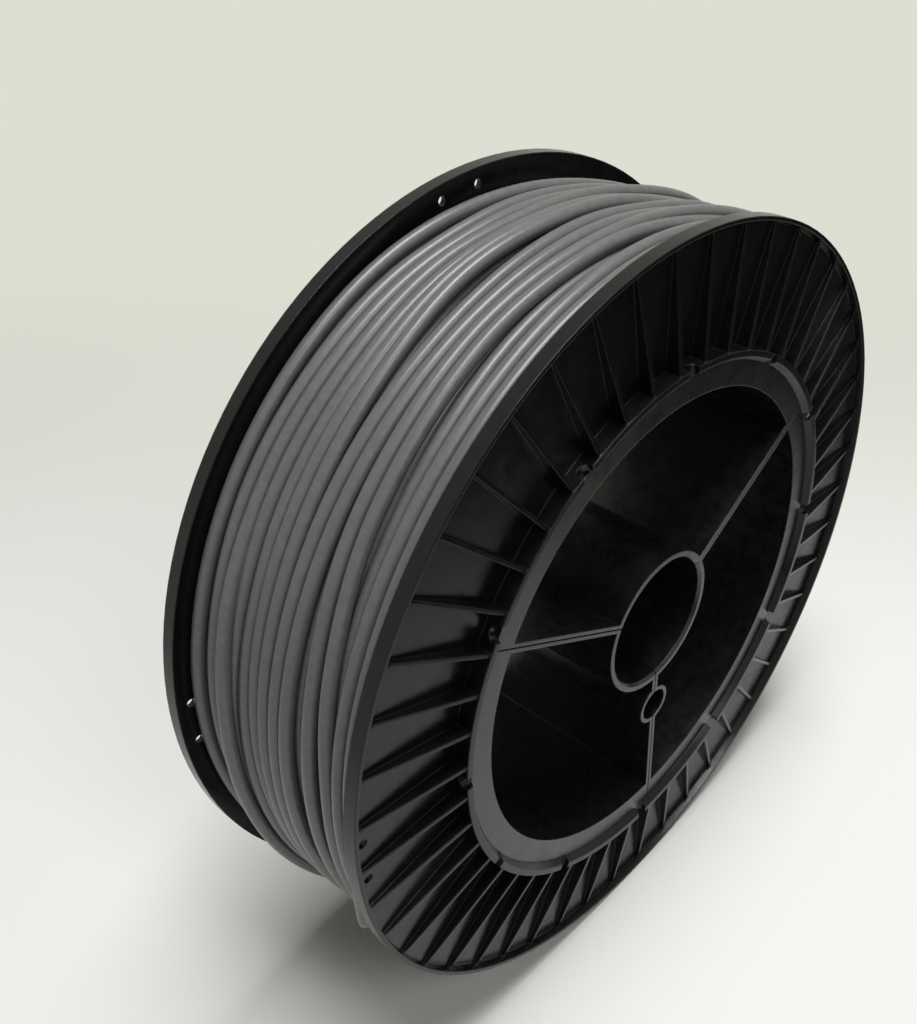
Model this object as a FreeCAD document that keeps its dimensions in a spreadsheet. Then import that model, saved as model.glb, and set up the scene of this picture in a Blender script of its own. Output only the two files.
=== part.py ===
import FreeCAD, Part
import Sketcher
import math
import os

doc = FreeCAD.newDocument("WeldingRodReel")

# Driving dimensions in millimetres, degrees and counts
SIZES = [
    ("rim_radius", 150.0, "outside of both flanges"),
    ("rim_plane", 45.3, "middle of the reel to the lip of a rim"),
    ("rim_depth", 5.0, "lip of the rim to the winding side"),
    ("rim_wall", 1.4, "thickness of the rim wall at its lip"),
    ("rim_root", 2.2, "thickness of the rim wall at its foot"),
    ("disc_wall", 1.9, "thickness of the disc"),
    ("opening_radius", 92.6, "inside of the barrel"),
    ("barrel_wall", 3.4, "thickness of the barrel"),
    ("collar_width", 6.0, "barrel to the outside of the collars of the core"),
    ("ledge_plane", 46.0, "middle of the reel to the ends of the core"),
    ("ring_height", 2.5, "ring wall over the ends of the core"),
    ("ring_foot", 4.15, "thickness of the ring wall at its foot"),
    ("ring_wall", 2.4, "thickness of the ring wall at its top"),
    ("tube_bore", 26.3, "radius of the spindle bore"),
    ("tube_wall", 3.0, "thickness of the centre tube"),
    ("tube_lead", 1.0, "chamfer at both mouths of the bore"),
    ("segment_half_angle", 60.0, "half the angle of a core segment"),
    ("seam_gap", 0.5, "gap between two core segments"),
    ("web_wall", 1.4, "thickness of one web plate"),
    ("pin_pitch", 44.5, "axis of the reel to the drive hole"),
    ("pin_bore", 6.8, "radius of the drive hole"),
    ("pin_wall", 1.7, "thickness of the boss round the drive hole"),
    ("rib_count", 48, "ribs on each flange"),
    ("rib_wall", 1.4, "thickness of a rib"),
    ("rib_hub_drop", 0.5, "top of the ring wall down to a rib"),
    ("rib_bend_drop", 1.5, "lip of the rim down to the bend of a rib"),
    ("rib_end_drop", 2.4, "lip of the rim down to the end of a rib"),
    ("rib_bend_inset", 4.5, "outside of the rim to the bend of a rib"),
    ("notch_count", 12, "notches in each ring wall"),
    ("notch_width", 5.0, "width of a notch, half round at its bottom"),
    ("notch_depth", 3.8, "depth of a notch"),
    ("notch_angle", 26.25, "first notch, from the level"),
    ("tie_hole", 1.6, "radius of a hole for tying the end of the rod"),
    ("tie_inset", 5.7, "outside of the rim to a pair of tie holes"),
    ("tie_spacing", 17.0, "between the two holes of a pair"),
    ("front_tie_angle", 179.0, "pair of tie holes in the front flange"),
    ("back_tie_angle", 6.05, "first pair in the back flange, seen from its own outer side"),
    ("back_tie_step", 85.4, "first pair of the back flange to its second"),
    ("back_turn", 3.35, "back flange turned on the axis from the line of the front one"),
    ("rod_radius", 2.5, "radius of the welding rod"),
    ("turn_count", 14, "turns across the top of the winding"),
    ("end_turns", 3, "outer turns that show on each end"),
    ("turn_relief", 1.6, "how far a turn stands out of the winding"),
    ("coil_back_inset", 6.5, "rim down to the winding at the back flange"),
    ("coil_front_inset", 5.0, "rim down to the winding at the front flange"),
    ("coil_clearance", 0.1, "winding to the discs"),
    ("tail_inset", 6.8, "front disc to the middle of the cut end of the rod"),
    ("tail_length", 40.0, "cut end of the rod below the axis"),
    ("fit_clearance", 0.05, "winding to barrel, barrel to disc, collar to disc and ring"),
]

sheet = doc.addObject("Spreadsheet::Sheet", "Sizes")
for row, (alias, value, note) in enumerate(SIZES, start=1):
    sheet.set("A%d" % row, alias)
    sheet.set("B%d" % row, str(value))
    sheet.set("C%d" % row, note)
    sheet.setAlias("B%d" % row, alias)
doc.recompute()


def size(alias):
    return float(sheet.get(alias))


# Lengths are written as sums and products of the aliases; the same text drives the constraint.
def amount(text):
    for alias in sorted((entry[0] for entry in SIZES), key=len, reverse=True):
        text = text.replace("Sizes." + alias, "(%r)" % size(alias))
    return float(FreeCAD.Units.parseQuantity(text).Value)


def origin_part(body, role):
    return next(o for o in body.Origin.OriginFeatures if o.Role == role)


# A sketch lies on an origin plane of its body, moved out by one length and turned by one angle,
# about its own normal unless another axis is given.
def new_sketch(body, name, role, out=None, turn=None, about=FreeCAD.Vector(0, 0, 1)):
    sketch = body.newObject("Sketcher::SketchObject", name)
    sketch.AttachmentSupport = (origin_part(body, role), [""])
    sketch.MapMode = "FlatFace"
    lift = amount(out) if out else 0.0
    swing = amount(turn) if turn else 0.0
    sketch.AttachmentOffset = FreeCAD.Placement(
        FreeCAD.Vector(0, 0, lift), FreeCAD.Rotation(about, swing))
    if out:
        sketch.setExpression("AttachmentOffset.Base.z", out)
    if turn:
        sketch.setExpression("AttachmentOffset.Rotation.Angle", turn)
    return sketch


def drive(sketch, kind, text, *place):
    index = sketch.addConstraint(Sketcher.Constraint(kind, *place, amount(text)))
    sketch.setExpression("Constraints[%d]" % index, text)


def closed_outline(sketch, corners):
    first = sketch.GeometryCount
    points = [FreeCAD.Vector(amount(across), amount(up), 0) for across, up in corners]
    for i, point in enumerate(points):
        sketch.addGeometry(Part.LineSegment(point, points[(i + 1) % len(points)]), False)
    for i in range(len(points)):
        after = first + (i + 1) % len(points)
        sketch.addConstraint(Sketcher.Constraint("Coincident", first + i, 2, after, 1))
    for i, (across, up) in enumerate(corners):
        drive(sketch, "DistanceX", across, -1, 1, first + i, 1)
        drive(sketch, "DistanceY", up, -1, 1, first + i, 1)


# A circle has its middle on the level axis of the sketch, or at a height over it.
def circle(sketch, across, radius, up=None):
    middle = FreeCAD.Vector(amount(across), amount(up) if up else 0.0, 0)
    shape = Part.Circle(middle, FreeCAD.Vector(0, 0, 1), amount(radius))
    geo = sketch.addGeometry(shape, False)
    drive(sketch, "DistanceX", across, -1, 1, geo, 3)
    if up:
        drive(sketch, "DistanceY", up, -1, 1, geo, 3)
    else:
        sketch.addConstraint(Sketcher.Constraint("PointOnObject", geo, 3, -1))
    drive(sketch, "Radius", radius, geo)


# A trough has a half round bottom and two straight sides, which end at the far height.
def trough(sketch, middle, far, radius):
    centre = FreeCAD.Vector(amount(middle), 0, 0)
    half = amount(radius)
    end = amount(far)
    bow = Part.Circle(centre, FreeCAD.Vector(0, 0, 1), half)
    arc = sketch.addGeometry(Part.ArcOfCircle(bow, -math.pi / 2, math.pi / 2), False)
    corners = [
        FreeCAD.Vector(centre.x, half, 0),
        FreeCAD.Vector(end, half, 0),
        FreeCAD.Vector(end, -half, 0),
        FreeCAD.Vector(centre.x, -half, 0),
    ]
    upper, cap, lower = [
        sketch.addGeometry(Part.LineSegment(corners[i], corners[i + 1]), False) for i in range(3)]
    sketch.addConstraint([
        Sketcher.Constraint("Tangent", arc, 2, upper, 1),
        Sketcher.Constraint("Coincident", upper, 2, cap, 1),
        Sketcher.Constraint("Coincident", cap, 2, lower, 1),
        Sketcher.Constraint("Tangent", lower, 2, arc, 1),
        Sketcher.Constraint("Horizontal", upper),
        Sketcher.Constraint("Vertical", cap),
        Sketcher.Constraint("PointOnObject", arc, 3, -1),
    ])
    drive(sketch, "DistanceX", middle, -1, 1, arc, 3)
    drive(sketch, "DistanceX", far, -1, 1, cap, 1)
    drive(sketch, "Radius", radius, arc)


def turned(body, name, sketch):
    feature = body.newObject("PartDesign::Revolution", name)
    feature.Profile = sketch
    feature.ReferenceAxis = (sketch, ["V_Axis"])
    feature.Angle = 360.0
    doc.recompute()
    return feature


def pad(body, name, sketch, length):
    feature = body.newObject("PartDesign::Pad", name)
    feature.Profile = sketch
    feature.Midplane = True
    feature.setExpression("Length", length)
    doc.recompute()
    return feature


def pocket(body, name, sketch, length, midplane=False, reverse=False):
    before = body.Shape.Volume
    feature = body.newObject("PartDesign::Pocket", name)
    feature.Profile = sketch
    feature.Midplane = midplane
    feature.Reversed = reverse
    feature.setExpression("Length", length)
    doc.recompute()
    if not feature.Shape.Volume < before - 0.01:
        raise RuntimeError(name + " cuts nothing")
    return feature


def repeat_round(body, name, feature, count):
    pattern = body.newObject("PartDesign::PolarPattern", name)
    pattern.Originals = [feature]
    pattern.Axis = (origin_part(body, "Y_Axis"), [""])
    pattern.Angle = 360.0
    pattern.setExpression("Occurrences", count)
    body.Tip = pattern
    doc.recompute()
    return pattern


def other_side(corners):
    return [(across, "-(" + up + ")") for across, up in reversed(corners)]


# Radii and planes that more than one piece uses
barrel_outer = "(Sizes.opening_radius + Sizes.barrel_wall)"
barrel_seat = "(%s + Sizes.fit_clearance)" % barrel_outer
ledge_radius = "(%s + Sizes.collar_width)" % barrel_outer
ring_seat = "(%s + Sizes.fit_clearance)" % ledge_radius
ring_radius = "(%s + Sizes.ring_foot)" % ring_seat
ring_plane = "(Sizes.ledge_plane + Sizes.ring_height)"
disc_inside = "(Sizes.rim_plane - Sizes.rim_depth)"
disc_outside = "(%s + Sizes.disc_wall)" % disc_inside


# A flange is one moulding: a flat disc with a rim, a ring wall and radial ribs on its outer side.
# Both are drawn as the front one, and the back one is turned round to face it.
def build_flange(label, placement, tie_turns):
    flange = doc.addObject("PartDesign::Body", label)
    flange.Label = label
    section = new_sketch(flange, label + "_section", "XY_Plane")
    closed_outline(section, [
        (barrel_seat, "-" + disc_inside),
        (barrel_seat, "-" + disc_outside),
        (ring_seat, "-" + disc_outside),
        (ring_seat, "-(Sizes.ledge_plane)"),
        (ring_radius + " - Sizes.ring_wall", "-" + ring_plane),
        (ring_radius, "-" + ring_plane),
        (ring_radius, "-" + disc_outside),
        ("Sizes.rim_radius - Sizes.rim_root", "-" + disc_outside),
        ("Sizes.rim_radius - Sizes.rim_wall", "-(Sizes.rim_plane)"),
        ("Sizes.rim_radius", "-(Sizes.rim_plane)"),
        ("Sizes.rim_radius", "-" + disc_inside),
    ])
    turned(flange, label + "_turned", section)

    # Ribs are high at the ring wall, low at the rim, and turn down at the end.
    rib_root = ring_radius + " - Sizes.ring_wall / 2"
    rib_tip = "Sizes.rim_radius - Sizes.rim_wall / 2"
    rib_foot = "-(%s + Sizes.disc_wall / 2)" % disc_inside
    rib = new_sketch(flange, label + "_rib_profile", "XY_Plane")
    closed_outline(rib, [
        (rib_root, rib_foot),
        (rib_root, "-(%s - Sizes.rib_hub_drop)" % ring_plane),
        ("Sizes.rim_radius - Sizes.rib_bend_inset", "-(Sizes.rim_plane - Sizes.rib_bend_drop)"),
        (rib_tip, "-(Sizes.rim_plane - Sizes.rib_end_drop)"),
        (rib_tip, rib_foot),
    ])
    rib_pad = pad(flange, label + "_rib", rib, "Sizes.rib_wall")
    repeat_round(flange, label + "_ribs", rib_pad, "Sizes.rib_count")

    # Round-bottomed notches cross the ring wall, each in the bay before a rib.
    level = FreeCAD.Vector(-1, 0, 0)
    notch = new_sketch(flange, label + "_notch_outline", "YZ_Plane", turn="Sizes.notch_angle", about=level)
    notch_middle = "-(%s - Sizes.notch_depth + Sizes.notch_width / 2)" % ring_plane
    trough(notch, notch_middle, "-(%s + Sizes.notch_width)" % ring_plane, "Sizes.notch_width / 2")
    notch_cut = pocket(flange, label + "_notch", notch, ring_radius + " + Sizes.rib_wall", reverse=True)
    repeat_round(flange, label + "_notches", notch_cut, "Sizes.notch_count")

    # Each pair of tie holes near the rim can hold the end of the rod.
    for tie_turn in tie_turns:
        tie = new_sketch(flange, label + "_tie_outline", "XZ_Plane", turn=tie_turn)
        for up in ("Sizes.tie_spacing / 2", "-(Sizes.tie_spacing / 2)"):
            circle(tie, "Sizes.rim_radius - Sizes.tie_inset", "Sizes.tie_hole", up=up)
        pocket(flange, label + "_tie", tie, "2 * Sizes.rim_plane", midplane=True)
    flange.Placement = placement
    return flange


# A core segment is a third of the barrel with its collars, a third of the centre tube, and a web
# plate along each seam. Its middle lies level here and is turned to its place in the reel.
def build_segment(label, angle, boss_turns):
    segment = doc.addObject("PartDesign::Body", label)
    segment.Label = label
    collar = "%s + Sizes.fit_clearance" % disc_outside
    barrel_end = [
        ("Sizes.opening_radius", "Sizes.ledge_plane"),
        (ledge_radius, "Sizes.ledge_plane"),
        (ledge_radius, collar),
        (barrel_outer, collar),
    ]
    barrel = new_sketch(segment, label + "_barrel_section", "XY_Plane")
    closed_outline(barrel, barrel_end + other_side(barrel_end))
    turned(segment, label + "_barrel", barrel)

    web_inner = "Sizes.tube_bore + Sizes.tube_wall / 2"
    web_outer = "Sizes.opening_radius + Sizes.barrel_wall / 2"
    for side, sign in (("_left", ""), ("_right", "-")):
        seam_turn = sign + "Sizes.segment_half_angle"
        web = new_sketch(segment, label + side + "_web_outline", "XZ_Plane", turn=seam_turn)
        near = "Sizes.seam_gap / 2"
        far = "(Sizes.seam_gap / 2 + Sizes.web_wall)"
        inward = "-" if sign == "" else ""
        closed_outline(web, [
            (web_inner, inward + near),
            (web_outer, inward + near),
            (web_outer, inward + far),
            (web_inner, inward + far),
        ])
        pad(segment, label + side + "_web", web, "2 * Sizes.ledge_plane")

    tube_end = [
        ("Sizes.tube_bore", "Sizes.ledge_plane - Sizes.tube_lead"),
        ("Sizes.tube_bore + Sizes.tube_lead", "Sizes.ledge_plane"),
        ("Sizes.tube_bore + Sizes.tube_wall", "Sizes.ledge_plane"),
    ]
    tube = new_sketch(segment, label + "_tube_section", "XY_Plane")
    closed_outline(tube, tube_end + other_side(tube_end))
    turned(segment, label + "_tube", tube)

    # Half of the boss of the drive hole is on each of the two lower segments.
    for turn in boss_turns:
        boss = new_sketch(segment, label + "_boss_outline", "XZ_Plane", turn=turn)
        circle(boss, "Sizes.pin_pitch", "Sizes.pin_bore + Sizes.pin_wall")
        pad(segment, label + "_boss", boss, "2 * Sizes.ledge_plane")
        hole = new_sketch(segment, label + "_drive_outline", "XZ_Plane", turn=turn)
        circle(hole, "Sizes.pin_pitch", "Sizes.pin_bore")
        pocket(segment, label + "_drive_hole", hole, "4 * Sizes.ledge_plane", midplane=True)

    # What lies past the two seams belongs to the other segments.
    for side, sign in (("_left", ""), ("_right", "-")):
        seam = "-(Sizes.seam_gap / 2)" if sign == "" else "Sizes.seam_gap / 2"
        seam_turn = sign + "Sizes.segment_half_angle"
        others = new_sketch(segment, label + side + "_cut_outline", "XZ_Plane", turn=seam_turn)
        closed_outline(others, [
            ("-(Sizes.rim_radius)", seam),
            ("Sizes.rim_radius", seam),
            ("Sizes.rim_radius", sign + "(Sizes.rim_radius)"),
            ("-(Sizes.rim_radius)", sign + "(Sizes.rim_radius)"),
        ])
        pocket(segment, label + side + "_cut", others, "4 * Sizes.ledge_plane", midplane=True)
    segment.Placement = FreeCAD.Placement(
        FreeCAD.Vector(0, 0, 0), FreeCAD.Rotation(FreeCAD.Vector(0, -1, 0), angle))
    return segment


as_drawn = FreeCAD.Placement()
about_axis = FreeCAD.Rotation(FreeCAD.Vector(0, -1, 0), size("back_turn"))
half_turn = FreeCAD.Rotation(FreeCAD.Vector(0, 0, 1), 180)
turned_round = FreeCAD.Placement(FreeCAD.Vector(0, 0, 0), about_axis.multiply(half_turn))
back_ties = ["Sizes.back_tie_angle", "Sizes.back_tie_angle + Sizes.back_tie_step"]
front_flange = build_flange("front_flange", as_drawn, ["Sizes.front_tie_angle"])
back_flange = build_flange("back_flange", turned_round, back_ties)
core_top = build_segment("core_top", 90, [])
core_left = build_segment("core_left", 210, ["Sizes.segment_half_angle"])
core_right = build_segment("core_right", 330, ["-Sizes.segment_half_angle"])

# The winding is one turned solid. Every turn is a ridge, round the outside and on both ends.
coil = doc.addObject("PartDesign::Body", "RodCoil")
coil.Label = "rod_coil"
turns = int(size("turn_count"))
end_turns = int(size("end_turns"))
coil_back = "(Sizes.rim_radius - Sizes.coil_back_inset)"
coil_front = "(Sizes.rim_radius - Sizes.coil_front_inset)"
lean = "(%s - %s)" % (coil_front, coil_back)
end_crest = "(%s - Sizes.coil_clearance)" % disc_inside
end_valley = "(%s - Sizes.turn_relief)" % end_crest

# Corners on the back end run outwards from the bore, and those round the outside run forwards.
back_end = [(barrel_seat, end_valley)]
for i in range(2 * end_turns):
    across = "%s - Sizes.turn_relief - Sizes.rod_radius * %d" % (coil_back, 2 * end_turns - i)
    back_end.append((across, end_crest if i % 2 else end_valley))
outside = []
for i in range(2 * turns + 1):
    across = "%s + %s * %d / %d" % (coil_back, lean, i, 2 * turns)
    up = "%s - 2 * %s * %d / %d" % (end_valley, end_valley, i, 2 * turns)
    outside.append((across if i % 2 else across + " - Sizes.turn_relief", up))
front_end = []
for across, up in reversed(back_end):
    front_end.append((across, "-" + up))

coil_section = new_sketch(coil, "CoilSection", "XY_Plane")
closed_outline(coil_section, back_end + outside + front_end)
turned(coil, "CoilTurned", coil_section)

# The cut end of the rod leaves the winding straight down, close behind the front disc.
tail = new_sketch(coil, "TailOutline", "XY_Plane", out="-Sizes.tail_length")
tail_plane = "-(%s - Sizes.tail_inset)" % disc_inside
circle(tail, "-(%s - Sizes.rod_radius)" % coil_front, "Sizes.rod_radius", up=tail_plane)
tail_pad = coil.newObject("PartDesign::Pad", "Tail")
tail_pad.Profile = tail
tail_pad.setExpression("Length", "Sizes.tail_length + 2 * Sizes.rod_radius")

doc.recompute()

for obj in doc.Objects:
    if "Invalid" in obj.State or "Error" in obj.State:
        raise RuntimeError("bad state: " + obj.Name)

os.makedirs("parts", exist_ok=True)
for body in (front_flange, back_flange, core_top, core_left, core_right, coil):
    shape = body.Shape
    if shape.isNull() or not shape.isValid():
        raise RuntimeError("bad shape: " + body.Label)
    volume = round(shape.Volume / 1000, 1)
    print(body.Label, len(shape.Solids), "solid", volume, "cm3", len(shape.Faces), "faces")
    shape.exportStep("parts/" + body.Label + ".step")
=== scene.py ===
import math

import bpy
import numpy as np
from mathutils import Matrix, Vector


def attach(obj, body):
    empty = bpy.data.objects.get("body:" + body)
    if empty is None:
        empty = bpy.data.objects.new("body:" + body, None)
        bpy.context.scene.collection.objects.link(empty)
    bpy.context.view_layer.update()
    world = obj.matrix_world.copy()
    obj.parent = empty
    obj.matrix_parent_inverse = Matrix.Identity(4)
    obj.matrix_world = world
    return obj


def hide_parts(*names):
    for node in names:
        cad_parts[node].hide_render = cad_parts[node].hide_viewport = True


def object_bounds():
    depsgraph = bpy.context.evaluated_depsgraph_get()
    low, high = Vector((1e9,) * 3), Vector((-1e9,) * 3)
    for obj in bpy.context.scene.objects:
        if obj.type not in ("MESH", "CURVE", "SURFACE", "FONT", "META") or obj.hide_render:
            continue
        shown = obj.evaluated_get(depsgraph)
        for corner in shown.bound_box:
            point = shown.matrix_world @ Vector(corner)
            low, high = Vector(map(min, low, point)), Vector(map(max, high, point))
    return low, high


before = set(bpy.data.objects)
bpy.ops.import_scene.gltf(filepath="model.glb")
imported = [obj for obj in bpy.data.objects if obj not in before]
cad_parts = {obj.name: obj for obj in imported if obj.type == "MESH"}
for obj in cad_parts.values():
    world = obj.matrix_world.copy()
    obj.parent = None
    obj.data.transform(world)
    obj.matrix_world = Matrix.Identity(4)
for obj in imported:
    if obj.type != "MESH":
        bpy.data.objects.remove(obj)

cadLow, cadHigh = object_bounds()
print("frame loaded, nodes:", sorted(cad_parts))


# Smooth mesh object at the origin, with its place in its mesh
def newPiece(name, points, faces):
    mesh = bpy.data.meshes.new(name)
    mesh.from_pydata(points, [], faces)
    mesh.polygons.foreach_set("use_smooth", np.ones(len(mesh.polygons), bool))
    mesh.update()
    piece = bpy.data.objects.new(name, mesh)
    bpy.context.collection.objects.link(piece)
    return piece


# Welding rod. Angles run round the axis: 90 is the top of the reel and 180 its left side.
rod = {
    "radius": 0.0025,
    "ringSides": 14,
    "stepDegrees": 2.0,
    "stations": (65.0, 85.0, 110.0, 140.0, 170.0),   # angles at which the place of each turn is given
    "farStations": ((220.0, 0.15), (280.0, 0.4), (350.0, 0.75)),   # angle, share of the way to the next turn
    "farWander": 0.35,           # millimetres by which a turn strays on the far side
    "firstAngle": -60.0,         # the far side, where each turn is counted from
    "lastAngle": 180.0,          # where the last turn leaves the winding
    "lowerBack": 0.1375,         # axis to the middle of the rod, lower layer, at the back flange
    "lowerFront": 0.1385,        # the same at the front flange
    "highest": 0.1468,           # the most it may be where turns lie on turns
    "reach": 0.0377,             # middle of the reel to the outermost turn
    "startDepth": 0.007,         # the rod comes up out of the inner turns
    "startDegrees": 40.0,
    "contact": 0.94,             # share of a diameter that a rod keeps from the layer under it
    "sideContact": 0.85,         # the same from the turns beside it, which it is pulled down between
    "smoothDegrees": 22.0,       # stretch round the reel over which place and height are averaged
    "tailPlane": -0.0335,        # the cut end hangs down here, close behind the front disc
    "tailLength": 0.0402,
    "tailBend": 0.012,
    "tailSteps": 21,
    "tailChamfer": 0.0003,
    "seed": 11,
}

# Places across the reel of each turn at the five stations, in millimetres from the middle, in winding
# order: the lower layer from the front flange to the back one, the upper layer from back to front.
lowerTurns = [
    (-37.6, -37.6, -37.6, -37.6, -37.5),
    (-32.2, -32.2, -32.0, -33.0, -32.6),
    (-26.6, -26.5, -26.0, -28.3, -27.8),
    (-21.2, -21.0, -20.7, -23.4, -22.8),
    (-15.8, -15.7, -15.5, -18.3, -17.7),
    (-10.5, -10.4, -10.3, -13.0, -12.6),
    (-5.2, -5.0, -5.0, -7.6, -7.2),
    (0.4, 0.8, 0.5, -1.6, -1.6),
    (6.2, 7.2, 6.2, 4.6, 4.2),
    (11.8, 12.7, 12.0, 11.6, 11.2),
    (17.2, 17.9, 17.4, 18.2, 17.6),
    (22.6, 23.1, 22.6, 24.3, 23.6),
    (28.0, 28.4, 29.0, 30.8, 30.2),
    (33.6, 33.6, 35.2, 37.2, 37.2),
]
upperTurns = [
    (21.0, 31.0, 37.2, 37.6, 37.6),
    (14.0, 22.4, 28.2, 30.9, 28.8),
    (0.5, 8.2, 14.3, 15.4, 13.6),
    (3.5, 12.6, 18.4, 20.5, 19.6),
    (8.0, 17.0, 23.3, 25.8, 18.4),
    (-4.0, 4.4, 10.3, 10.2, 8.8),
    (-8.0, 0.2, 6.2, 4.9, 3.7),
    (-12.0, -4.4, -2.4, -1.0, -1.4),
    (-18.0, -10.4, -7.5, -6.2, -6.3),
    (-29.0, -20.8, -16.8, -18.2, -25.4),
    (-26.0, -16.6, -11.9, -12.8, -17.4),
    (-33.0, -28.6, -29.0, -29.9, -30.4),
    (-36.4, -34.4, -34.2, -35.0, -35.6),
]


# Running mean of a row under a raised cosine
def smoothRow(row, width):
    weights = np.hanning(width + 2)[1:-1]
    padded = np.concatenate([np.full(width, row[0]), row, np.full(width, row[-1])])
    return np.convolve(padded, weights / weights.sum(), mode="same")[width:-width]


# Height of a turn over those it lies on: the highest of r + sqrt(D^2 - d^2), with d the gap across the reel
def restOn(across, laid, reaches):
    height = np.zeros_like(across)
    for (laidAcross, laidHeight), reach in zip(laid, reaches):
        gap = across - laidAcross[:len(across)]
        over = laidHeight[:len(across)] + np.sqrt(np.clip(reach ** 2 - gap ** 2, 0.0, None))
        height = np.maximum(height, np.where(np.abs(gap) < reach, over, 0.0))
    return height


# One rod wound round the axis: a point is (r cos a, y, r sin a), with y stepping over on the far side
def windRod():
    draw = np.random.default_rng(rod["seed"])
    turns = lowerTurns + upperTurns
    perTurn = int(round(360.0 / rod["stepDegrees"]))
    width = int(rod["smoothDegrees"] / rod["stepDegrees"])
    stationAngle, stationAcross = [], []
    for k, places in enumerate(turns):
        stationAngle += [angle + 360.0 * k for angle in rod["stations"]]
        stationAcross += list(places)
        if k + 1 < len(turns):
            onward = turns[k + 1][0]
            for angle, share in rod["farStations"]:
                stray = draw.normal(0, rod["farWander"])
                stationAngle.append(angle + 360.0 * k)
                stationAcross.append(places[-1] * (1 - share) + onward * share + stray)
    last = rod["lastAngle"] + 360.0 * (len(turns) - 1)
    angles = np.arange(rod["firstAngle"], last + rod["stepDegrees"] / 2, rod["stepDegrees"])
    across = smoothRow(np.interp(angles, stationAngle, np.array(stationAcross) * 0.001), width)
    across = np.clip(across, -rod["reach"], rod["reach"])

    # The lower layer lies on the inner turns, and each upper turn on all that is already wound
    slope = (rod["lowerFront"] - rod["lowerBack"]) / (2 * rod["reach"])
    height = rod["lowerBack"] + slope * (rod["reach"] - across)
    diameter = 2 * rod["radius"]
    laid = []
    for k in range(len(turns)):
        part = slice(k * perTurn, min((k + 1) * perTurn, len(angles)))
        if k >= len(lowerTurns):
            reaches = [diameter * rod["contact"]] * len(lowerTurns)
            reaches += [diameter * rod["sideContact"]] * (k - len(lowerTurns))
            height[part] = np.minimum(restOn(across[part], laid, reaches), rod["highest"])
        laid.append((across[part].copy(), height[part].copy()))
    height = smoothRow(height, width)

    # The start rises out of the inner turns by s^2 (3 - 2 s), with s the share of the rise gone round
    begun = np.clip((angles - rod["firstAngle"]) / rod["startDegrees"], 0, 1)
    height -= rod["startDepth"] * (1 - begun * begun * (3 - 2 * begun))

    turn = np.radians(angles)
    outward = np.stack([np.cos(turn), np.zeros_like(turn), np.sin(turn)], 1)
    wound = outward * height[:, None]
    wound[:, 1] = across
    return wound, outward


# The cut end leaves the winding straight down: y goes over to its own plane as 1 - exp(-drop / bend)
def addTail(path, outward):
    drop = np.linspace(0, rod["tailLength"], rod["tailSteps"] + 1)[1:]
    end = path[-1]
    ease = 1 - np.exp(-drop / rod["tailBend"])
    across = end[1] + (rod["tailPlane"] - end[1]) * ease
    tail = np.stack([np.full_like(drop, end[0]), across, end[2] - drop], 1)
    return np.concatenate([path, tail]), np.concatenate([outward, np.repeat(outward[-1:], len(tail), 0)])


# Round tube along a path: ring points are P + R (N cos b + B sin b), N out from the axis, B across the rod
def sweepRod(name, path, outward):
    ahead = np.gradient(path, axis=0)
    ahead /= np.linalg.norm(ahead, axis=1)[:, None]
    normal = outward - ahead * np.sum(outward * ahead, axis=1)[:, None]
    normal /= np.linalg.norm(normal, axis=1)[:, None]
    side = np.cross(ahead, normal)
    sides = rod["ringSides"]
    swing = np.arange(sides) * 2 * np.pi / sides
    radius = np.full(len(path), rod["radius"])
    radius[[0, -1]] -= rod["tailChamfer"]
    ring = (normal[:, None, :] * np.cos(swing)[None, :, None]
            + side[:, None, :] * np.sin(swing)[None, :, None])
    points = (path[:, None, :] + ring * radius[:, None, None]).reshape(-1, 3)
    points = np.concatenate([points, path[[0, -1]]])

    rows, cols = np.meshgrid(np.arange(len(path) - 1), np.arange(sides), indexing="ij")
    after = (cols + 1) % sides
    walls = np.stack([rows * sides + cols, rows * sides + after,
                      (rows + 1) * sides + after, (rows + 1) * sides + cols], -1).reshape(-1, 4)
    around = np.arange(sides)
    nextOne = (around + 1) % sides
    lastRow = (len(path) - 1) * sides
    startCap = np.stack([np.full(sides, len(points) - 2), nextOne, around], 1)
    endCap = np.stack([np.full(sides, len(points) - 1), lastRow + around, lastRow + nextOne], 1)
    piece = newPiece(name, points.tolist(), walls.tolist() + startCap.tolist() + endCap.tolist())

    # UV map in metres: u along the rod, v round it
    length = np.concatenate([[0.0], np.cumsum(np.linalg.norm(np.diff(path, axis=0), axis=1))])
    wallU = np.stack([length[rows], length[rows], length[rows + 1], length[rows + 1]], -1)
    wallV = np.stack([cols, cols + 1, cols + 1, cols], -1) * 2 * np.pi * rod["radius"] / sides
    cap = np.zeros(2 * sides * 3)
    uv = np.stack([np.concatenate([wallU.ravel(), cap]), np.concatenate([wallV.ravel(), cap])], 1)
    piece.data.uv_layers.new(name="alongRod").data.foreach_set("uv", uv.ravel())
    return piece


# Turns under the two outer layers: a drum whose ends show the edge of every layer
innerTurns = {
    "bore": 0.0962,
    "outside": 0.1345,
    "half": 0.0399,
    "layerStep": 0.0043,
    "layerDepth": 0.0012,
    "profilePoints": 73,
    "steps": 144,
}


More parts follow.
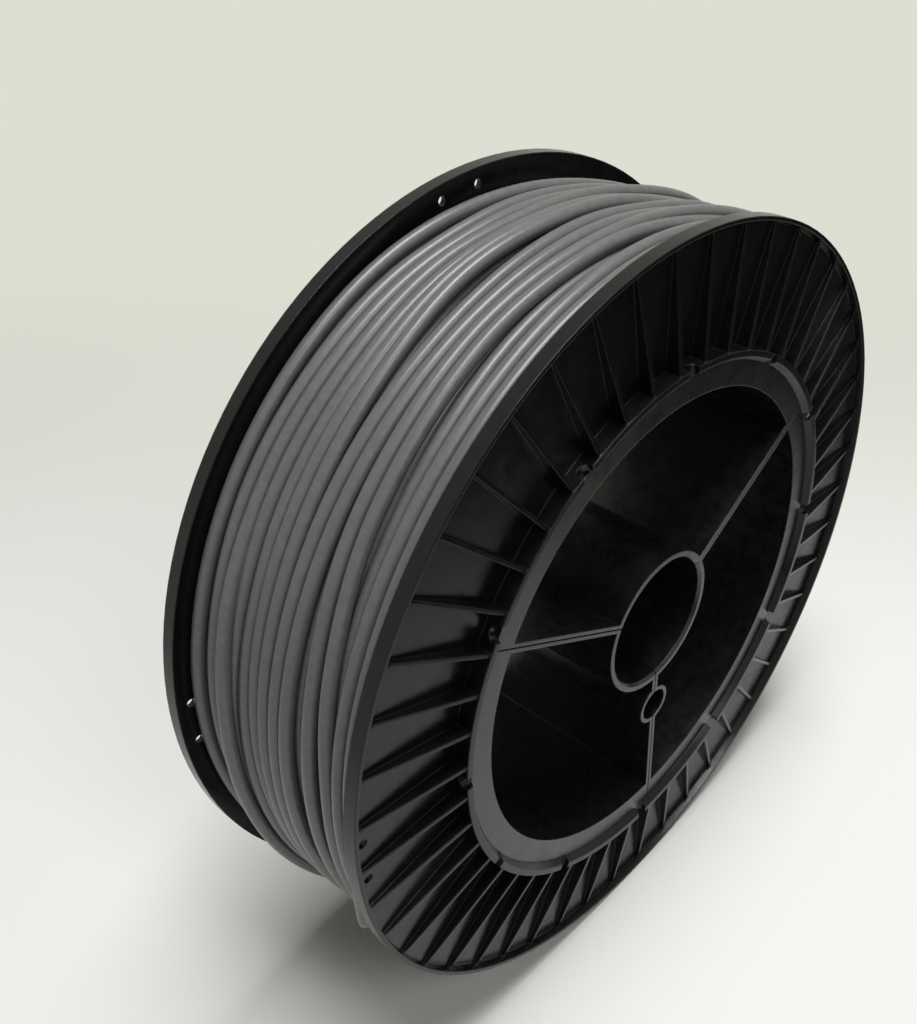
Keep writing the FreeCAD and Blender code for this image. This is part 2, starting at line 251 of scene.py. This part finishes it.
# Surface of revolution round Y of a closed profile of (r, y) pairs. An end is a row of half circles of one
# rod each: y = half - depth |cos(pi s)|, with s in layers.
def buildInnerTurns():
    radius = np.linspace(innerTurns["bore"], innerTurns["outside"], innerTurns["profilePoints"])
    layers = (radius - innerTurns["bore"]) / innerTurns["layerStep"]
    across = innerTurns["half"] - innerTurns["layerDepth"] * np.abs(np.cos(np.pi * layers))
    radius, across = np.concatenate([radius, radius[::-1]]), np.concatenate([across, -across[::-1]])
    steps, size = innerTurns["steps"], len(radius)
    angles = (np.arange(steps) * 2 * np.pi / steps)[:, None]
    points = np.stack([radius[None, :] * np.cos(angles), np.repeat(across[None, :], steps, 0),
                       radius[None, :] * np.sin(angles)], -1).reshape(-1, 3)
    rows, cols = np.meshgrid(np.arange(steps), np.arange(size), indexing="ij")
    nextRow, nextCol = (rows + 1) % steps, (cols + 1) % size
    faces = np.stack([rows * size + cols, rows * size + nextCol,
                      nextRow * size + nextCol, nextRow * size + cols], -1).reshape(-1, 4)
    return newPiece("inner_turns", points.tolist(), faces.tolist())


path, outward = addTail(*windRod())
woundRod = sweepRod("wound_rod", path, outward)
innerDrum = buildInnerTurns()
for piece in (woundRod, innerDrum):
    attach(piece, "root")
    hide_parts("rod_coil")
print("rod wound:", len(woundRod.data.polygons), "faces, length in m:",
      round(float(np.linalg.norm(np.diff(path, axis=0), axis=1).sum()), 2))


# Shader helpers. A value fed to a socket is a number, a colour or another node's output.
def feed(tree, socket, value):
    if isinstance(value, bpy.types.NodeSocket):
        tree.links.new(value, socket)
    else:
        socket.default_value = value


def addNode(tree, kind, **settings):
    node = tree.nodes.new(kind)
    for key, value in settings.items():
        setattr(node, key, value)
    return node


def mathNode(tree, operation, first, second, clamped=False):
    node = addNode(tree, "ShaderNodeMath", operation=operation, use_clamp=clamped)
    feed(tree, node.inputs[0], first)
    feed(tree, node.inputs[1], second)
    return node.outputs[0]


def dotNode(tree, first, second):
    node = addNode(tree, "ShaderNodeVectorMath", operation="DOT_PRODUCT")
    feed(tree, node.inputs[0], first)
    feed(tree, node.inputs[1], second)
    return node.outputs["Value"]


def rangeNode(tree, value, fromRange, toRange=(0.0, 1.0), shape="LINEAR"):
    node = addNode(tree, "ShaderNodeMapRange", interpolation_type=shape)
    for label, amount in zip(("From Min", "From Max", "To Min", "To Max"), fromRange + toRange):
        feed(tree, node.inputs[label], amount)
    feed(tree, node.inputs["Value"], value)
    return node.outputs["Result"]


def rampNode(tree, value, places, colors):
    node = addNode(tree, "ShaderNodeValToRGB")
    for element, place, color in zip(node.color_ramp.elements, places, colors):
        element.position = place
        element.color = color
    feed(tree, node.inputs["Fac"], value)
    return node.outputs["Color"]


def mixNode(tree, share, first, second):
    node = addNode(tree, "ShaderNodeMix", data_type="RGBA")
    for index, value in ((0, share), (6, first), (7, second)):   # factor, A and B of the colour mix
        feed(tree, node.inputs[index], value)
    return node.outputs[2]


def noiseNode(tree, vector, scale, detail, roughness=0.5, dimensions="3D"):
    node = addNode(tree, "ShaderNodeTexNoise", noise_dimensions=dimensions)
    for label, value in (("Vector", vector), ("Scale", scale), ("Detail", detail), ("Roughness", roughness)):
        feed(tree, node.inputs[label], value)
    return node.outputs["Fac"]


def bumpNode(tree, height, distance, normal=None):
    node = addNode(tree, "ShaderNodeBump")
    feed(tree, node.inputs["Height"], height)
    feed(tree, node.inputs["Distance"], distance)
    if normal is not None:
        feed(tree, node.inputs["Normal"], normal)
    return node.outputs["Normal"]


def newMaterial(name):
    material = bpy.data.materials.new(name)
    material.use_nodes = True
    return material, material.node_tree, material.node_tree.nodes["Principled BSDF"]


def newGroup(name, inputs, outputs):
    group = bpy.data.node_groups.new(name, "ShaderNodeTree")
    for label, kind, value in inputs:
        socket = group.interface.new_socket(name=label, in_out="INPUT", socket_type=kind)
        if value is not None:
            socket.default_value = value
    for label, kind in outputs:
        group.interface.new_socket(name=label, in_out="OUTPUT", socket_type=kind)
    return group, group.nodes.new("NodeGroupInput").outputs, group.nodes.new("NodeGroupOutput").inputs


mould = {
    "bevelSamples": 4,
    "edgeTurn": (0.995, 0.80),   # cosine between the rounded and the true normal: none and all of an edge
    "grainDetail": 3.0,
    "waveDetail": 2.0,
    "patchScale": 160.0, "patchDetail": 5.0, "patchRoughness": 0.6,
}


# Moulded plastic: rounded edges, fine grain, broad sink marks, and a mask of the edges, where a highlight is
# painted, and one of patches
def buildMouldGroup():
    group, given, made = newGroup(
        "mouldedPlastic",
        [("Vector", "NodeSocketVector", None), ("Edge Radius", "NodeSocketFloat", 0.0004),
         ("Grain Size", "NodeSocketFloat", 0.0006), ("Grain Depth", "NodeSocketFloat", 0.00002),
         ("Wave Size", "NodeSocketFloat", 0.02), ("Wave Depth", "NodeSocketFloat", 0.0001)],
        [("Normal", "NodeSocketVector"), ("Patches", "NodeSocketFloat"), ("Edges", "NodeSocketFloat")])
    bevel = addNode(group, "ShaderNodeBevel", samples=mould["bevelSamples"])
    feed(group, bevel.inputs["Radius"], given["Edge Radius"])
    rounded = bevel.outputs["Normal"]
    flat = addNode(group, "ShaderNodeNewGeometry").outputs["Normal"]
    edgeHighlightMask = rangeNode(group, dotNode(group, rounded, flat), mould["edgeTurn"])
    grainScale = mathNode(group, "DIVIDE", 1.0, given["Grain Size"])
    waveScale = mathNode(group, "DIVIDE", 1.0, given["Wave Size"])
    grain = noiseNode(group, given["Vector"], grainScale, mould["grainDetail"])
    wave = noiseNode(group, given["Vector"], waveScale, mould["waveDetail"])
    patches = noiseNode(group, given["Vector"], mould["patchScale"], mould["patchDetail"],
                        mould["patchRoughness"])
    waved = bumpNode(group, wave, given["Wave Depth"], rounded)
    feed(group, made["Normal"], bumpNode(group, grain, given["Grain Depth"], waved))
    feed(group, made["Patches"], patches)
    feed(group, made["Edges"], edgeHighlightMask)
    return group


mouldedPlastic = buildMouldGroup()
flangeBlack = {
    "dark": (0.0035, 0.0035, 0.0038, 1), "light": (0.0055, 0.0055, 0.0058, 1),
    # edge: a lighter colour on the rounded edges, a painted highlight
    "edge": (0.010, 0.010, 0.010, 1), "tonePatches": (0.35, 0.7),
    "rough": (0.20, 0.30), "roughPatches": (0.3, 0.7), "ior": 1.55, "specular": 0.22,
    "mould": {"Edge Radius": 0.0007, "Grain Size": 0.0007, "Grain Depth": 0.000015,
              "Wave Size": 0.03, "Wave Depth": 0.00008},
}
coreBlack = {
    "dark": (0.0035, 0.0035, 0.0035, 1), "light": (0.0055, 0.0055, 0.0055, 1),
    # edge: a lighter colour on the rounded edges, a painted highlight
    "edge": (0.012, 0.012, 0.012, 1), "tonePatches": (0.35, 0.7),
    "rough": (0.23, 0.33), "roughPatches": (0.3, 0.7), "ior": 1.55, "specular": 0.46,
    "mould": {"Edge Radius": 0.0005, "Grain Size": 0.0009, "Grain Depth": 0.00004,
              "Wave Size": 0.02, "Wave Depth": 0.00015},
}


# Black mouldings: patches a little lighter and duller, edges lighter as a painted highlight
def buildReelMaterial(name, look):
    material, tree, shader = newMaterial(name)
    skin = addNode(tree, "ShaderNodeGroup", node_tree=mouldedPlastic)
    feed(tree, skin.inputs["Vector"], addNode(tree, "ShaderNodeTexCoord").outputs["Object"])
    for label, amount in look["mould"].items():
        feed(tree, skin.inputs[label], amount)
    patches = skin.outputs["Patches"]
    tone = rampNode(tree, patches, look["tonePatches"], (look["dark"], look["light"]))
    # Painted highlight: the edge mask mixes a lighter colour into the rounded edges
    feed(tree, shader.inputs["Base Color"], mixNode(tree, skin.outputs["Edges"], tone, look["edge"]))
    feed(tree, shader.inputs["Roughness"], rangeNode(tree, patches, look["roughPatches"], look["rough"]))
    feed(tree, shader.inputs["Normal"], skin.outputs["Normal"])
    feed(tree, shader.inputs["IOR"], look["ior"])
    feed(tree, shader.inputs["Specular IOR Level"], look["specular"])
    return material


rodGrey = {
    "dark": (0.098, 0.098, 0.099, 1), "light": (0.124, 0.124, 0.125, 1), "toneSpecks": (0.3, 0.75),
    "rough": (0.28, 0.38), "roughLines": (0.3, 0.7), "ior": 1.5,
    "lineStretch": (14.0, 2600.0, 1.0),      # lines for each metre, along the rod and round it
    "endStretch": (300.0, 300.0, 300.0),
    "lineDetail": 3.0, "lineDepth": 0.00002,
    "speckScale": 420.0, "speckDetail": 4.0, "speckDepth": 0.000004,
}


# Extruded rod: die lines stretched along its length, faint specks, and a soft gloss
def buildRodMaterial(name, uvName):
    material, tree, shader = newMaterial(name)
    place = addNode(tree, "ShaderNodeTexCoord").outputs["Object"]
    fit = addNode(tree, "ShaderNodeMapping")
    if uvName:
        feed(tree, fit.inputs["Vector"], addNode(tree, "ShaderNodeUVMap", uv_map=uvName).outputs["UV"])
        feed(tree, fit.inputs["Scale"], rodGrey["lineStretch"])
    else:
        feed(tree, fit.inputs["Vector"], place)
        feed(tree, fit.inputs["Scale"], rodGrey["endStretch"])
    lines = noiseNode(tree, fit.outputs["Vector"], 1.0, rodGrey["lineDetail"],
                      dimensions="2D" if uvName else "3D")
    specks = noiseNode(tree, place, rodGrey["speckScale"], rodGrey["speckDetail"])
    tone = rampNode(tree, specks, rodGrey["toneSpecks"], (rodGrey["dark"], rodGrey["light"]))
    lined = bumpNode(tree, lines, rodGrey["lineDepth"])
    feed(tree, shader.inputs["Base Color"], tone)
    feed(tree, shader.inputs["Roughness"], rangeNode(tree, lines, rodGrey["roughLines"], rodGrey["rough"]))
    feed(tree, shader.inputs["Normal"], bumpNode(tree, specks, rodGrey["speckDepth"], lined))
    feed(tree, shader.inputs["IOR"], rodGrey["ior"])
    return material


def dress(obj, material):
    obj.data.materials.clear()
    obj.data.materials.append(material)


flangeMaterial = buildReelMaterial("flange_black", flangeBlack)
coreMaterial = buildReelMaterial("core_black", coreBlack)
for nodes, material in ((("front_flange", "back_flange"), flangeMaterial),
                        (("core_top", "core_left", "core_right"), coreMaterial)):
    for node in nodes:
        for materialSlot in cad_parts[node].material_slots:
            materialSlot.material = material
dress(woundRod, buildRodMaterial("rod_grey", "alongRod"))
dress(innerDrum, buildRodMaterial("rod_grey_ends", None))
print("materials assigned")


# A flat pale sheet under the reel, toned with painted shade as if it curved up behind it, in a pale room
# with two soft lamps
studio = {
    "floorLevel": cadLow.z,
    "floorHalf": 4.0,
    "floorNear": (0.90, 0.89, 0.875, 1),
    # floorFar: darker and warmer, painted shade of the sheet where it would curve up
    "floorFar": (0.76, 0.755, 0.70, 1),
    "floorRoughness": 0.9,
    "curve": (0.05, 0.62),                  # metres behind the reel, along the camera's heading
    "curveAllRound": (0.55, 1.5),           # metres from the reel, on every side
    "wall": (0.73, 0.73, 0.65, 1),          # the sheet where it would have curved up, as it is seen
    "litFloorHeading": (0.44, -0.90, 0.0),
    "litFloorEdge": (0.20, 0.33),              # metres in that heading, outside the picture
    "paintedShadePastLitFloor": (0.05, 0.05, 0.048, 1),    # painted shade: the floor past that edge, dark as the flange mirrors it and as light bounces off it, as if the lamps lit only the floor near the reel
    "roomLight": 0.11,
    "roomSeen": 0.73,                       # how pale the room is to the camera and in reflections
    "roomColor": (1.0, 1.0, 0.89, 1),
}
lamps = {
    "overhead_softbox": {"place": (0.04, -0.12, 1.32), "size": (0.8, 0.5), "power": 18.5},
    "front_fill": {"place": (-0.30, -1.35, 1.50), "size": (0.6, 0.6), "power": 7.5},
}
photoCamera = {
    "azimuth": -50.09, "elevation": 40.40, "distance": 0.4544, "roll": -0.13,
    "focalPixels": 1154.8, "middle": (564.9, 571.4), "picture": (917, 1024), "sensor": 36.0,
    "clipStart": 0.01,
}


# One flat square at the level of the rims. Distance behind the reel is the dot product with a heading.
def buildFloor():
    half, level = studio["floorHalf"], studio["floorLevel"]
    corners = [(-half, -half, level), (half, -half, level), (half, half, level), (-half, half, level)]
    floor = newPiece("studio_floor", corners, [(0, 1, 2, 3)])
    material, tree, shader = newMaterial("pale_floor")
    place = addNode(tree, "ShaderNodeTexCoord").outputs["Object"]
    rays = addNode(tree, "ShaderNodeLightPath").outputs
    heading = math.radians(photoCamera["azimuth"])
    away = dotNode(tree, place, (-math.sin(heading), math.cos(heading), 0.0))
    # Darker towards the back along the camera's heading: painted shade of the sheet curving up
    behind = rangeNode(tree, away, studio["curve"], shape="SMOOTHSTEP")
    tone = rampNode(tree, behind, (0.0, 1.0), (studio["floorNear"], studio["floorFar"]))

    # The camera sees the pale sheet everywhere; for light and reflections the floor past the edge is painted
    # shade, as if the lamps lit only the floor near the reel
    past = dotNode(tree, place, studio["litFloorHeading"])
    edge = rangeNode(tree, past, studio["litFloorEdge"], shape="SMOOTHSTEP")
    dim = mathNode(tree, "MULTIPLY", edge, mathNode(tree, "SUBTRACT", 1.0, rays["Is Camera Ray"]))
    # Painted shade: past the edge the floor turns dark for all rays but the camera's
    feed(tree, shader.inputs["Base Color"], mixNode(tree, dim, tone, studio["paintedShadePastLitFloor"]))
    feed(tree, shader.inputs["Roughness"], studio["floorRoughness"])
    feed(tree, shader.inputs["Specular IOR Level"], 0.0)

    # Where the sheet would have curved up it is seen and mirrored at its own tone, a glow darkened with
    # painted shade, and lights nothing
    seen = mathNode(tree, "MAXIMUM", rays["Is Camera Ray"], rays["Is Glossy Ray"])
    kept = mathNode(tree, "SUBTRACT", seen, dim, clamped=True)
    fromReel = addNode(tree, "ShaderNodeVectorMath", operation="LENGTH")
    feed(tree, fromReel.inputs[0], place)
    allRound = rangeNode(tree, fromReel.outputs["Value"], studio["curveAllRound"], shape="SMOOTHSTEP")
    curve = mathNode(tree, "MAXIMUM", behind, allRound)
    wall = addNode(tree, "ShaderNodeEmission")
    feed(tree, wall.inputs["Color"], studio["wall"])
    both = addNode(tree, "ShaderNodeMixShader")
    feed(tree, both.inputs[0], mathNode(tree, "MULTIPLY", curve, kept))
    feed(tree, both.inputs[1], shader.outputs[0])
    feed(tree, both.inputs[2], wall.outputs[0])
    feed(tree, tree.nodes["Material Output"].inputs["Surface"], both.outputs[0])
    dress(floor, material)


# Soft rectangular lamp, turned towards the middle of the reel
def addLamp(name, lamp):
    data = bpy.data.lights.new(name, "AREA")
    data.shape = "RECTANGLE"
    data.size, data.size_y = lamp["size"]
    data.energy = lamp["power"]
    obj = bpy.data.objects.new(name, data)
    obj.location = lamp["place"]
    obj.rotation_mode = "QUATERNION"
    obj.rotation_quaternion = (-Vector(lamp["place"])).to_track_quat("-Z", "Y")
    bpy.context.collection.objects.link(obj)


# The room lights the reel weakly, and is pale where it is seen or mirrored
def buildRoom():
    world = bpy.data.worlds.new("soft_room")
    world.use_nodes = True
    tree = world.node_tree
    backdrop = tree.nodes["Background"]
    rays = addNode(tree, "ShaderNodeLightPath").outputs
    mirrored = mathNode(tree, "MAXIMUM", rays["Is Glossy Ray"], rays["Is Transmission Ray"])
    seen = mathNode(tree, "MAXIMUM", rays["Is Camera Ray"], mirrored)
    strength = rangeNode(tree, seen, (0.0, 1.0), (studio["roomLight"], studio["roomSeen"]))
    feed(tree, backdrop.inputs["Strength"], strength)
    feed(tree, backdrop.inputs["Color"], studio["roomColor"])
    bpy.context.scene.world = world


# The photo's camera: pixel sizes become lens and shift by the height of the picture
def buildCamera():
    azimuth, elevation = math.radians(photoCamera["azimuth"]), math.radians(photoCamera["elevation"])
    back = Vector((math.sin(azimuth) * math.cos(elevation), -math.cos(azimuth) * math.cos(elevation),
                   math.sin(elevation)))
    width, height = photoCamera["picture"]
    data = bpy.data.cameras.new("photo_camera")
    data.sensor_width = photoCamera["sensor"]
    data.lens = photoCamera["focalPixels"] / height * photoCamera["sensor"]
    data.shift_x = (width / 2 - photoCamera["middle"][0]) / height
    data.shift_y = (photoCamera["middle"][1] - height / 2) / height
    data.clip_start = photoCamera["clipStart"]
    camera = bpy.data.objects.new("photo_camera", data)
    roll = Matrix.Rotation(math.radians(photoCamera["roll"]), 4, "Z")
    aim = (-back).to_track_quat("-Z", "Y").to_matrix().to_4x4()
    camera.matrix_world = Matrix.Translation(back * photoCamera["distance"]) @ aim @ roll
    bpy.context.collection.objects.link(camera)
    bpy.context.scene.camera = camera


buildFloor()
for name, lamp in lamps.items():
    addLamp(name, lamp)
buildRoom()
buildCamera()
bpy.context.scene.view_settings.view_transform = "Standard"
print("floor, lamps and camera placed")
